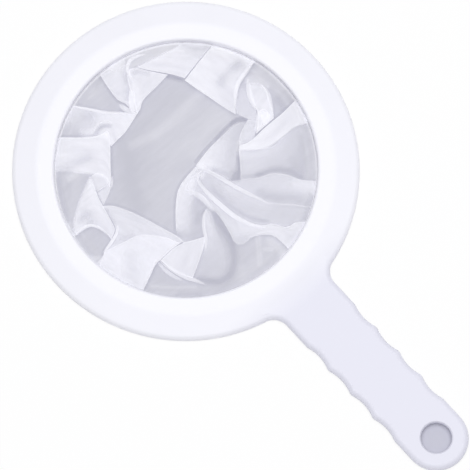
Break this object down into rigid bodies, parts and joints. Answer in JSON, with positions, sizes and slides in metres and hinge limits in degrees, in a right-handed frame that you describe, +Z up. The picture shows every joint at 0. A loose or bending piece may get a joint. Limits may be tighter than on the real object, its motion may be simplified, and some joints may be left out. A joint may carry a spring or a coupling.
{
  "type": "skimmer net",
  "caption": "Hand-held fine-mesh skimmer: a wide hollow plastic ring with a soft mesh bag gathered inside it and a short finger-grip handle with a hanging hole.",
  "frame": {"origin": "centre of the ring on its flat underside", "axes": "+X along the handle from the ring to the hanging hole, +Z up out of the ring's mouth, +Y to the left of the handle"},
  "size_m": [0.24, 0.145, 0.0055],
  "materials": {
    "frame_plastic": "smooth satin moulded plastic",
    "base_plastic": "fine matt moulded plastic",
    "hoop_plastic": "smooth extruded plastic",
    "hem_tape": "woven tape",
    "net_mesh": "fine sheer knitted mesh"
  },
  "bodies": {
    "root": {"frame": "frame_plastic", "base_ring": "base_plastic", "net_hoop": "hoop_plastic", "net_hem": "hem_tape", "net_bag": "net_mesh"}
  },
  "joints": []
}
